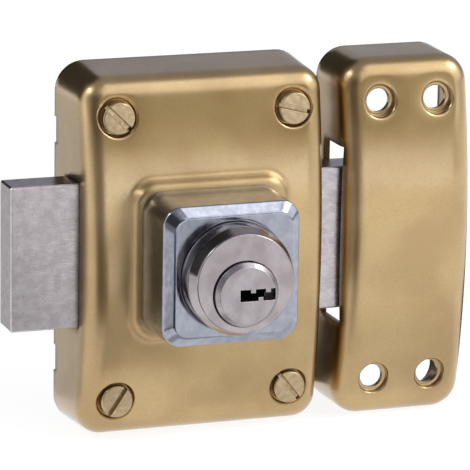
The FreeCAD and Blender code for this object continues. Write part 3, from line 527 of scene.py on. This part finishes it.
def skin(name, grids, body, replaced, slot):
    """A mesh from grids of points in millimetres. Rims that meet are joined, so the skin is closed."""
    points, quads, first = [], [], 0
    for grid in grids:
        number = first + np.arange(grid.shape[0] * grid.shape[1]).reshape(grid.shape[:2])
        corners = (number[:-1, :-1], number[1:, :-1], number[1:, 1:], number[:-1, 1:])
        quads.append(np.stack(corners, -1).reshape(-1, 4))
        points.append(grid.reshape(-1, 3) * MM)
        first += number.size
    mesh = bpy.data.meshes.new(name)
    mesh.from_pydata(np.concatenate(points), [], np.concatenate(quads))
    joined = bmesh.new()
    joined.from_mesh(mesh)
    bmesh.ops.remove_doubles(joined, verts=joined.verts, dist=WELD)
    bmesh.ops.recalc_face_normals(joined, faces=joined.faces)
    open_edges = sum(not edge.is_manifold for edge in joined.edges)
    joined.to_mesh(mesh)
    joined.free()
    mesh.polygons.foreach_set("use_smooth", np.ones(len(mesh.polygons), bool))
    mesh.set_sharp_from_angle(angle=SHARP_ANGLE)
    mesh.materials.append(finishes[slot])
    piece = bpy.data.objects.new(name, mesh)
    bpy.context.scene.collection.objects.link(piece)
    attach(piece, body)
    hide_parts(replaced)
    print(name, "has", len(mesh.polygons), "faces and", open_edges, "open edges")
    return piece


def node_box(node):
    """The lowest and highest corner of a CAD solid in millimetres."""
    low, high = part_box(node)
    return np.array(low) / MM, np.array(high) / MM


print("the collar's box in mm:", [corner.round(1).tolist() for corner in node_box("cylinder_collar")])

# %% [markdown]
# ## The square collar
#
# The collar is a zinc casting that shields the cylinder, polished and bright plated. Its sides lean in a
# little, as they must to leave the mould, and wide bevels lead to a flat face with a round bore.
# Polishing has softened its edges. Every cross-section is a rounded square, and a circle is one too: its
# corners are as large as half its width. So one formula gives the outside, the face and the bore, and the
# face between the square and the bore needs no special mesh.

# %% How far a rounded square reaches
def rounded_square(turn, half, corner):
    """How far a rounded square reaches in the direction of turn.

    On a side it is half / max(|cos|, |sin|). Past the end of the side the ray meets the corner's circle,
    whose middle is k = half - corner along both axes: with u = k * (|cos| + |sin|) it reaches
    u + the square root of u**2 - 2 * k**2 + corner**2.
    """
    across, up = np.abs(np.cos(turn)), np.abs(np.sin(turn))
    k = half - corner
    u = k * (across + up)
    side = half / np.maximum(across, up)
    round_part = u + np.sqrt(np.maximum(u**2 - 2 * k**2 + corner**2, 0))
    return np.where(side * np.minimum(across, up) <= k, side, round_part)


to_corner = float(rounded_square(math.pi / 4, 20.0, 6.0))
print("a square 40 mm wide, rounded by 6 mm, reaches", round(to_corner, 1), "mm towards its corner")

# %% Collar
COLLAR_COLUMNS = 320
COLUMNS_CROWD = 0.15
COLLAR_LEAN, COLLAR_CORNER = 0.8, 6.0
BEVEL_IN, BEVEL_BACK, FACE_CORNER = 3.0, 2.5, 4.5
FACE_MARGIN, MARGIN_CORNER = 1.1, 3.7
BORE_R = 16.8


def square_collar():
    """Rows follow the profile; columns crowd towards the corners, where the outline turns."""
    low, high = node_box("cylinder_collar")
    foot, front, back = high[0], low[1], high[1]
    side, face = foot - COLLAR_LEAN, foot - COLLAR_LEAN - BEVEL_IN
    # Half width, depth, corner of the rounded square, radius of the edge.
    profile = eased_profile([
        (foot, back, COLLAR_CORNER + COLLAR_LEAN, 0.15),
        (side, front + BEVEL_BACK, COLLAR_CORNER, 1.0),
        (face, front, FACE_CORNER, 1.0),
        (face - FACE_MARGIN, front, MARGIN_CORNER, 0.0),
        (BORE_R, front, BORE_R, 0.35),
        (BORE_R, back, BORE_R, 0.1),
    ])
    even = np.linspace(0, 2 * math.pi, COLLAR_COLUMNS + 1)
    turn = even + COLUMNS_CROWD * np.sin(4 * even)
    half, depth, corner = (profile[:, i:i + 1] for i in range(3))
    reach = rounded_square(turn[None], half, corner)
    return np.stack([reach * np.cos(turn), depth + reach * 0, reach * np.sin(turn)], -1)


skin("bevelled_collar", [square_collar()], "case", "cylinder_collar", "collar_chrome")

# %% [markdown]
# ## The room-side barrel
#
# The barrel is turned brass, nickel plated: a stout ring in front, and behind it a threaded spigot that
# goes through the cover. The plug turns in a bore that lies below the middle of the ring. A lathe makes
# the outside round one centre and the bore round another, and so does this profile: each of its points
# has its own centre height, which slides from the ring's to the bore's across the flat face.

# %% Barrel with an off-centre bore
BARREL_COLUMNS = 192
RING_R, TAPER_IN, TAPER_BACK, RING_MARGIN = 16.7, 1.6, 4.0, 0.8
SPIGOT_R = 13.0
PLUG_BORE_R, PLUG_HEAD_BORE_R, PLUG_HEAD_BORE_DEPTH = 7.55, 9.9, 3.85
BORE_BREAK = 0.35
PLUG_DROP = 3.0


def ring_and_spigot():
    """Rows follow the profile; columns go round each row's own centre."""
    low, high = node_box("inner_cylinder_barrel")
    front, back = low[1], high[1]
    seat = node_box("cylinder_collar")[1][1]
    face_r, shoulder = RING_R - TAPER_IN, front + PLUG_HEAD_BORE_DEPTH
    # Radius, depth, height of the centre, radius of the edge.
    profile = eased_profile([
        (SPIGOT_R, back, 0, 0.3),
        (SPIGOT_R, seat, 0, 0.1),
        (RING_R, seat, 0, 0.3),
        (RING_R, front + TAPER_BACK, 0, 2.5),
        (face_r, front, 0, 0.7),
        (face_r - RING_MARGIN, front, 0, 0.0),
        (PLUG_HEAD_BORE_R + BORE_BREAK, front, -PLUG_DROP, 0.15),
        (PLUG_HEAD_BORE_R, front + BORE_BREAK, -PLUG_DROP, 0.15),
        (PLUG_HEAD_BORE_R, shoulder, -PLUG_DROP, 0.1),
        (PLUG_BORE_R, shoulder, -PLUG_DROP, 0.1),
        (PLUG_BORE_R, back, -PLUG_DROP, 0.2),
    ])
    turn = np.linspace(0, 2 * math.pi, BARREL_COLUMNS + 1)
    radius, depth, centre = (profile[:, i:i + 1] for i in range(3))
    return np.stack([radius * np.cos(turn), depth + turn * 0, centre + radius * np.sin(turn)], -1)


skin("ring_and_spigot", [ring_and_spigot()], "case", "inner_cylinder_barrel", "barrel_nickel")

# %% [markdown]
# ## The cover screws
#
# Four cheese-head screws hold the cover. Each was left at its own angle when it was last tightened, and
# the screwdriver has raised a small burr along its slot. A slot cut into a round head is awkward on a
# grid of rings, so the head's face is a square grid squeezed into a disc: across the slot every line
# keeps its place, and along it each line is as long as the disc is wide there. A row that starts at the
# slot's wall then stays on it.

# %% Face of a cheese head
HEAD_R, HEAD_H, HEAD_EDGE, HEAD_CROWN = 5.0, 3.9, 0.5, 0.12
SLOT_HALF, SLOT_WALL, SLOT_DEEP = 0.60, 0.08, 1.8
BURR_HIGH, BURR_OFF, BURR_WIDE, BURR_ENDS = 0.05, 0.84, 0.12, 0.1
ROWS_AT_SLOT = (0, 0.3, SLOT_HALF, SLOT_HALF + SLOT_WALL, BURR_OFF - 0.08, BURR_OFF, BURR_OFF + 0.1, 1.1)
FACE_ROWS, FACE_COLUMNS = 37, 33


def screw_face(front):
    """A squeezed grid: at (s, t) it is at s * sqrt(1 - t**2) along the slot and t across it.

    Its depth adds up the crown, a quarter round at the rim, the slot, whose walls are a short ramp, and a
    bell curve on each side for the burr, which ends where the rim starts to turn down.
    """
    at_slot = np.array(ROWS_AT_SLOT) / HEAD_R
    even = np.sin(np.linspace(-1, 1, FACE_ROWS) * math.pi / 2)
    t = np.unique(np.round(np.r_[even, at_slot, -at_slot], 6))
    s = np.sin(np.linspace(-1, 1, FACE_COLUMNS) * math.pi / 2)
    across, along = np.meshgrid(t * HEAD_R, s, indexing="ij")
    along = along * np.sqrt(np.maximum(HEAD_R**2 - across**2, 0))
    from_middle = np.minimum(np.hypot(across, along), HEAD_R)
    off = np.abs(across)
    past_edge = np.maximum(from_middle - HEAD_R + HEAD_EDGE, 0)
    rim = HEAD_EDGE - np.sqrt(HEAD_EDGE**2 - past_edge**2)
    slot = SLOT_DEEP * np.clip((SLOT_HALF + SLOT_WALL - off) / SLOT_WALL, 0, 1)
    burr = BURR_HIGH * np.exp(-(((off - BURR_OFF) / BURR_WIDE) ** 2)) * (rim < BURR_ENDS)
    depth = front + HEAD_CROWN * (from_middle / HEAD_R) ** 2 + rim + slot - burr
    return np.stack([along, depth, across], -1)


print("rows, columns and coordinates of a screw's face:", screw_face(0.0).shape)

# %% Side of the head, shank and thread
SHANK_R, SHANK_L, THREAD_DEEP, THREAD_PITCH = 3.0, 16.0, 0.3, 1.0
SCREW_EASE, THREAD_RUN_OUT, THREAD_FROM = 0.2, 0.45, 0.5
POINTS_A_PITCH = 4


def screw_side(rim, front):
    """Rings from the rim of the face down to the tip, each with the rim's own columns.

    The thread is a triangle wave in the radius, which moves on by one pitch as the turn goes round.
    """
    turn = np.unwrap(np.arctan2(rim[:, 2], rim[:, 0]))
    seat, end, core = front + HEAD_H, front + HEAD_H + SHANK_L, SHANK_R - THREAD_DEEP
    head = np.array([
        (HEAD_R, seat - SCREW_EASE), (HEAD_R - SCREW_EASE, seat), (SHANK_R, seat),
        (SHANK_R, seat + THREAD_RUN_OUT),
    ])
    tip = np.array([
        (core, end - THREAD_RUN_OUT), (core, end - SCREW_EASE), (core - THREAD_DEEP, end), (0, end),
    ])
    depth = np.arange(seat + THREAD_FROM, end - THREAD_FROM, THREAD_PITCH / POINTS_A_PITCH)
    wave = np.abs(2 * ((depth[:, None] / THREAD_PITCH - turn / (2 * math.pi)) % 1) - 1)
    around = np.ones_like(turn)
    radii = np.concatenate([head[:, :1] * around, SHANK_R - THREAD_DEEP * wave, tip[:, :1] * around])
    depths = np.concatenate([head[:, 1], depth, tip[:, 1]])[:, None]
    below = np.stack([radii * np.cos(turn), depths + radii * 0, radii * np.sin(turn)], -1)
    side = np.concatenate([rim[None], below])
    return np.concatenate([side, side[:, :1]], 1)


# %% Four screws, each at its own angle
SLOT_TURNS = {(-1, 1): 44.0, (1, 1): 15.0, (-1, -1): -56.0, (1, -1): 52.0}


def turned_and_placed(grid, centre_x, centre_z, degrees):
    """Turned about its own middle and then moved to its hole."""
    cos, sin = math.cos(math.radians(degrees)), math.sin(math.radians(degrees))
    x, depth, z = grid[..., 0], grid[..., 1], grid[..., 2]
    return np.stack([centre_x + x * cos + z * sin, depth, centre_z - x * sin + z * cos], -1)


screws_low, screws_high = node_box("cover_screws")
SCREW_DX, SCREW_DZ = screws_high[0] - HEAD_R, screws_high[2] - HEAD_R
face = screw_face(screws_low[1])
side = screw_side(np.concatenate([face[:, -1], face[::-1, 0]]), screws_low[1])
screw_grids = []
for (right, up), degrees in SLOT_TURNS.items():
    for grid in (face, side):
        screw_grids.append(turned_and_placed(grid, right * SCREW_DX, up * SCREW_DZ, degrees))
skin("cheese_head_screws", screw_grids, "case", "cover_screws", "screw_brass")

# %% [markdown]
# ## Springs of the pins
#
# Ten small springs press the driver pins down. The CAD model has plain sleeves in their place. A spring
# is a tube whose middle line is a helix: go round and climb at the same time. Its ends are drawn to a
# point, so that the tube is closed.

# %% Coil springs
WIRE_R, COILS, PIN_SPRINGS, PIN_PITCH = 0.2, 9, 5, 4.0
STEPS_A_COIL, WIRE_SIDES = 18, 8


def coil_springs(node):
    """The middle line is (r cos a, r sin a, rise * a). The skin adds w (cos b outwards, sin b up)."""
    low, high = node_box(node)
    radius = (high[0] - low[0]) / 2 - WIRE_R
    a = np.linspace(0, COILS * 2 * math.pi, COILS * STEPS_A_COIL + 1)[:, None]
    b = np.linspace(0, 2 * math.pi, WIRE_SIDES + 1)
    wire = np.full_like(a, WIRE_R)
    wire[[0, -1]] = 0
    height = low[2] + WIRE_R + (high[2] - low[2] - 2 * WIRE_R) * a / a[-1]
    out = radius + wire * np.cos(b)
    coil = np.stack([out * np.cos(a), out * np.sin(a), height + wire * np.sin(b)], -1)
    first = low[1] + radius + WIRE_R
    return [coil + (0, first + PIN_PITCH * number, 0) for number in range(PIN_SPRINGS)]


for end in ("inner", "outer"):
    sleeves = end + "_pin_springs"
    skin(end + "_coil_springs", coil_springs(sleeves), "case", sleeves, "spring_steel")

# %% [markdown]
# ## Giving each solid its finish
#
# The record says which slot each solid takes its finish from, so the list is read from there and no solid
# can be forgotten. The meshes themselves aren't touched.

# %% Each solid takes the finish of its slot
for subpart in frame["record"]["subparts"]:
    mesh = nodes[subpart["node"]].data
    mesh.materials.clear()
    mesh.materials.append(finishes[subpart["material_slot"]])
print("solids with a finish:", sum(len(n.data.materials) for n in nodes.values()))

# %% [markdown]
# ## The table
#
# The lock stands on a plain white table in a pale grey room. The table is white to the camera and in
# reflections, and keeps the soft shadow: part of its light is its own and part is what the lamps give it.
# Light that bounces off it onto the lock comes from a plain white surface instead, so that the table
# doesn't act as a lamp.

# %% Table
TABLE_REACH = 8.0
GLOW_IN_METAL, GLOW_TO_CAMERA = 0.80, 0.87
SHADOW_SHARE, PLAIN_WHITE = 0.25, 0.8


def white_table():
    """A flat square just under the case, large enough to fill every view of the lock."""
    finish, tree, _ = new_finish("white_table")
    path = add(tree, "LightPath").outputs
    either = {0: path["Is Camera Ray"], 1: path["Is Glossy Ray"]}
    seen = add(tree, "Math", either, operation="MAXIMUM").outputs[0]
    seen = add(tree, "Math", {0: seen, 1: path["Is Transmission Ray"]}, operation="MAXIMUM").outputs[0]
    by_ray = span(path["Is Camera Ray"], 0.0, 1.0, GLOW_IN_METAL, GLOW_TO_CAMERA)
    glow = add(tree, "MapRange", by_ray, interpolation_type=EASED).outputs["Result"]
    own = add(tree, "Emission", {"Color": (1, 1, 1, 1), "Strength": glow})
    lit = add(tree, "BsdfDiffuse", {"Color": (SHADOW_SHARE, SHADOW_SHARE, SHADOW_SHARE, 1)})
    both = add(tree, "AddShader", {0: own.outputs[0], 1: lit.outputs[0]})
    plain = add(tree, "BsdfDiffuse", {"Color": (PLAIN_WHITE, PLAIN_WHITE, PLAIN_WHITE, 1)})
    shown = add(tree, "MixShader", {0: seen, 1: plain.outputs[0], 2: both.outputs[0]})
    add(tree, "OutputMaterial", {"Surface": shown.outputs[0]})
    mesh = bpy.data.meshes.new("table")
    sides = ((-1, -1), (1, -1), (1, 1), (-1, 1))
    corners = [(x * TABLE_REACH, y * TABLE_REACH, cad_box[0][2]) for x, y in sides]
    mesh.from_pydata(corners, [], [(0, 1, 2, 3)])
    mesh.materials.append(finish)
    table = bpy.data.objects.new("table", mesh)
    bpy.context.scene.collection.objects.link(table)
    return table


table = white_table()
print("table lies at", round(cad_box[0][2] / MM, 1), "mm")

# %% [markdown]
# ## World and lamps
#
# Metal has no look of its own: it shows what stands round it. So lamps were placed by working backwards.
# At each light patch in the photograph the surface's tilt is known from the solid, and the tilt says
# where the light must come from. Seven soft boxes came out of that: broad ones high in front, on the
# right and on the left, a strip above, a thin one at the lock's own height, and two small bright ones for
# the cream glints in the folds. Each is given by its direction from the lock, so the list below reads
# like a plan of the studio, and it says what each lamp does on the metal.

# %% World
ROOM_COLOUR, ROOM_LIGHT = "#EFF2FF", 0.38
world = bpy.data.worlds.new("pale_room")
bpy.context.scene.world = world
world.use_nodes = True
world.node_tree.nodes.clear()
room = add(world.node_tree, "Background", {"Color": linear(ROOM_COLOUR), "Strength": ROOM_LIGHT})
add(world.node_tree, "OutputWorld", {"Surface": room.outputs[0]})
print("light of the room:", ROOM_LIGHT)

# %% Lamps
AIMED_AT = Vector((0.0, -0.03, 0.0))
# Azimuth and elevation in degrees, distance, width and height in metres, brightness.
LAMPS = {
    # Light along the upper folds of the case, the strike and the pad.
    "high_front": (23, 37, 1.5, (1.2, 0.95), 1.0),
    # Brightest light on the collar's upper bevel, and a thin line on the upper edges.
    "upper_strip": (40, 61, 1.4, (0.6, 0.3), 1.6),
    # Broad light on the bolt, on the front round the collar and on the strike's upper half.
    "low_front": (12, 0, 1.0, (0.6, 0.11), 1.8),
    # Light down the right folds, and on the right end of the collar's upper bevel.
    "right_panel": (64, 24, 1.4, (1.5, 0.9), 0.95),
    # Thin light at the upper end of the case's left fold, and along the cylinder's left.
    "left_panel": (-92, 22, 1.2, (0.5, 1.1), 1.0),
    # Cream glints in the upper right corners, and on the right of the cylinder.
    "right_glint": (68, 40, 1.3, (0.4, 0.4), 8.0),
    # Small glints in the upper left corners of the case, the strike, the pad and the collar.
    "left_glint": (-83, 46, 1.2, (0.25, 0.25), 9.0),
}


def towards(azimuth, elevation, distance):
    """A place seen from the lock at these angles: azimuth 0 is straight in front, and positive right."""
    side, up = math.radians(azimuth), math.radians(elevation)
    level = math.cos(up) * distance
    return (math.sin(side) * level, -math.cos(side) * level, math.sin(up) * distance)


def soft_lamp(name, azimuth, elevation, distance, size, brightness):
    """A soft box facing the lock. A power of pi * area * brightness makes a mirror show that brightness."""
    data = bpy.data.lights.new(name, "AREA")
    data.shape = "RECTANGLE"
    data.size, data.size_y = size
    data.energy = math.pi * size[0] * size[1] * brightness
    lamp = bpy.data.objects.new(name, data)
    lamp.location = towards(azimuth, elevation, distance)
    lamp.rotation_euler = (AIMED_AT - lamp.location).to_track_quat("-Z", "Y").to_euler()
    lamp.visible_camera = False
    bpy.context.scene.collection.objects.link(lamp)


for name, facts in LAMPS.items():
    soft_lamp(name, *facts)
print("lamps:", list(LAMPS))

# %% [markdown]
# ## Flags and cards
#
# Whoever photographs shiny metal stands black flags and grey cards round it, because an edge shows only
# if something dark meets something light in it. The dark parts of this lock come from such things: the
# lines in the left folds, the black crescent on the cylinder's flank and the dark side of the collar. The
# cards here are seen in reflections only. They cast no shadow and take no light from the lock, so the
# colours of the finishes stay as written. Some stand upright between two azimuths, like a fence. Others
# lie on the table, where the case's front mirrors them: its lower end shows what lies close by, and its
# middle shows what lies further out. Each card's comment says what it does on the metal.

# %% Cards that only reflections see
JUST_OFF_TABLE = cad_box[0][2] + 0.0005


def card(name, corners, level):
    """A flat card as bright as level, where 1 is white. Its corners are places on the lock's own axes."""
    finish, tree, _ = new_finish(name)
    plain = add(tree, "Emission", {"Color": (1, 1, 1, 1), "Strength": level})
    add(tree, "OutputMaterial", {"Surface": plain.outputs[0]})
    mesh = bpy.data.meshes.new(name)
    mesh.from_pydata(corners, [], [(0, 1, 2, 3)])
    mesh.materials.append(finish)
    made = bpy.data.objects.new(name, mesh)
    bpy.context.scene.collection.objects.link(made)
    made.visible_camera = made.visible_shadow = made.visible_diffuse = False


def fence(left, right, distance, low, high):
    """Corners of a card that stands between two azimuths and two elevations at one distance."""
    edges = ((left, low), (right, low), (right, high), (left, high))
    return [towards(azimuth, elevation, distance) for azimuth, elevation in edges]


def lying(*corners):
    """Corners of a card that lies on the table, from their x and y."""
    return [(x, y, JUST_OFF_TABLE) for x, y in corners]


# %% Upright cards
# The elevation at which a fence 0.36 m away ends a millimetre above the table.
FENCE_FOOT = -8.9
UPRIGHT = {
    # Dark lines in the left folds of the case, the pad and the strike, and the collar's dark left side.
    "standing_flag": (fence(-56, -14, 0.36, FENCE_FOOT, 9), 0.30),
    # Dark upper ends of those folds, and the dark upper left of the collar's bevel and the cylinder.
    "raised_flag": (fence(-56, 1, 0.37, 9, 34), 0.07),
    # Black crescent on the cylinder's flank, and the dark upper left corners of the case and the strike.
    "flag_behind": (fence(-190, -104, 0.9, 2, 66), 0.03),
    # Darker band across the top of both fronts, where they mirror the gap between low and high lamp.
    "gap_between_lamps": (fence(1, 31, 1.2, 4.5, 18), 0.02),
}
for name, (corners, level) in UPRIGHT.items():
    card(name, corners, level)
print("upright cards:", list(UPRIGHT))

# %% Cards on the table
ON_TABLE = {
    # Dark lines down the left of the case, the pad and the collar, and the shade on the bolt beside them.
    "lying_flag": (lying((-0.29, -0.22), (0.0, -0.38), (-0.012, -0.12), (-0.108, -0.097)), 0.05),
    # Slight shade at the lower end of both fronts.
    "shade_in_front": (lying((0.0, -0.034), (0.12, -0.034), (0.15, -0.1), (0.024, -0.1)), 0.82),
    # Brown lower left of the case's front, and the darker folds under the pad and the collar.
    "shade_low_left": (lying((-0.045, -0.062), (0.012, -0.062), (0.022, -0.14), (-0.012, -0.14)), 0.5),
    # Greyer faces of the collar and the cylinder, and the grey of the bolt.
    "shade_further_out": (lying((0.02, -0.48), (0.11, -0.48), (0.098, -0.305), (0.02, -0.305)), 0.42),
    # A little shade in the middle of the strike.
    "shade_far_right": (lying((0.20, -0.80), (0.38, -0.80), (0.30, -0.44), (0.17, -0.44)), 0.6),
    # Grey of the left wall and of the bolt's left end, which mirror what lies behind the lock.
    "cloth_behind": (lying((-0.03, 0.8), (-0.8, 0.3), (-0.07, -0.01), (-0.042, 0.04)), 0.58),
    # Dark gap between the case and the strike: painted shade, from a dark sheet that only reflections see.
    "gap_shade_card": (lying((-0.02, 0.6), (0.5, 0.6), (0.2, 0.01), (0.0, 0.01)), 0.05),
}
for name, (corners, level) in ON_TABLE.items():
    card(name, corners, level)
print("cards on the table:", list(ON_TABLE))
